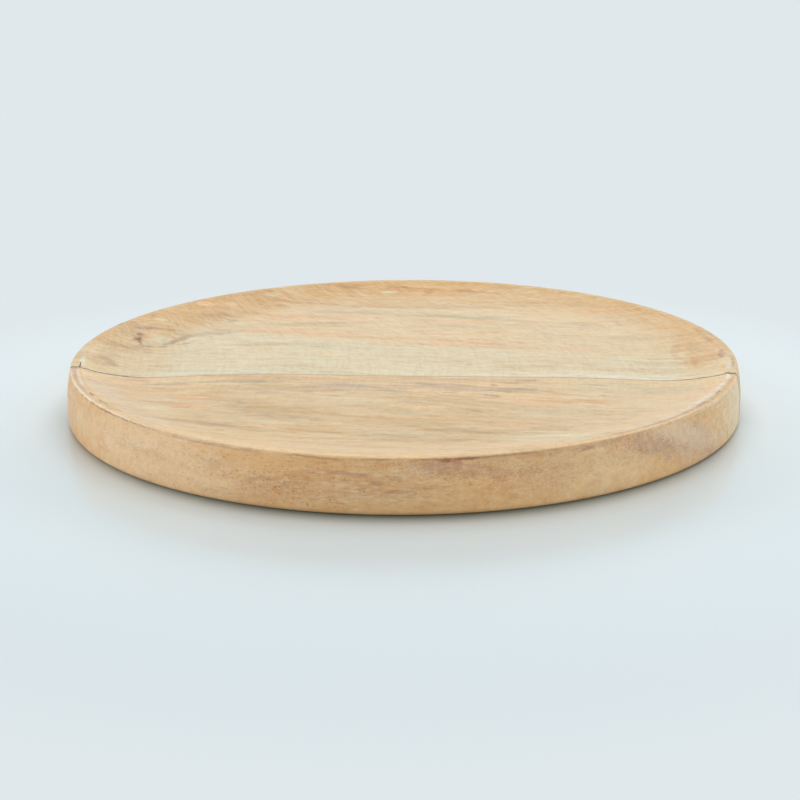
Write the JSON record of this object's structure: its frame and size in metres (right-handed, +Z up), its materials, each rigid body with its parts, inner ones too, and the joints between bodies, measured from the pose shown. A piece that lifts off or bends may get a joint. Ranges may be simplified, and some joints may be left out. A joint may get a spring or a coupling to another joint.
{
  "type": "round tray",
  "caption": "Shallow round wooden tray turned from two edge-glued boards, with a plain rim, a dished top and a flat underside to stand on.",
  "frame": {"origin": "centre of the flat underside, on the turning axis", "axes": "+Z up out of the dish, +X along the grain and the glue line, -Y towards the narrower front board"},
  "size_m": [0.3, 0.3, 0.0235],
  "materials": {
    "rear_wood": "satin, lightly oiled mango, pale cream along the joint and orange brown at the rear",
    "front_wood": "satin, lightly oiled mango, pinkish tan with grey brown streaks along the grain",
    "dried_glue": "satin, a thin brown line of dried wood glue",
    "dark_filler": "matt, dark brown wood filler"
  },
  "bodies": {
    "root": {"rear_board": "rear_wood", "front_board": "front_wood", "glue_line": "dried_glue", "rim_filler": "dark_filler"}
  },
  "joints": []
}
